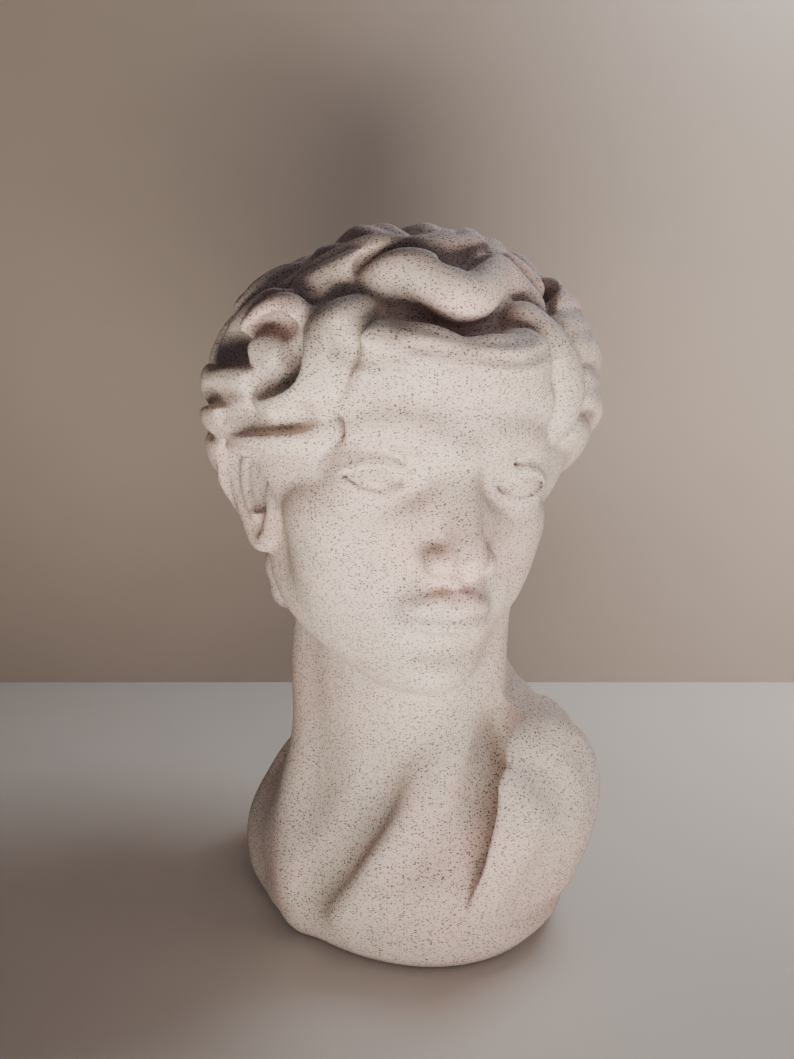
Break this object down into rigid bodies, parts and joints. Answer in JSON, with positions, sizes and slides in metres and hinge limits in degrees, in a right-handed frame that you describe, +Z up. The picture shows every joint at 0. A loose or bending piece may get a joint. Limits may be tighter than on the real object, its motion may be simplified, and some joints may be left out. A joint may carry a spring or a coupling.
{
  "type": "bust",
  "caption": "Free-standing marble-effect portrait bust with thick curly hair and a sling over one shoulder, hollow cast, on felt feet.",
  "frame": {"origin": "centre of the outline box, on the surface that the felt feet stand on", "axes": "+Z up, and the face looks towards -Y, turned a little to the bust's left (+X)"},
  "size_m": [0.1824, 0.1854, 0.3],
  "materials": {
    "cast_marble": "matt warm white, with small dark grey-brown flecks",
    "ballast_plaster": "rough poured plaster",
    "fibreboard": "plain fibreboard",
    "screw_steel": "zinc plated",
    "insert_brass": "plain",
    "felt": "dark grey felt"
  },
  "bodies": {
    "root": {"bust_shell": "cast_marble", "ballast_block": "ballast_plaster", "base_plate": "fibreboard", "base_screw_front_right": "screw_steel", "base_screw_back_right": "screw_steel", "base_screw_back_left": "screw_steel", "base_screw_front_left": "screw_steel", "screw_insert_front_right": "insert_brass", "screw_insert_back_right": "insert_brass", "screw_insert_back_left": "insert_brass", "screw_insert_front_left": "insert_brass", "foot_pad_front": "felt", "foot_pad_right": "felt", "foot_pad_back": "felt", "foot_pad_left": "felt"}
  },
  "joints": []
}
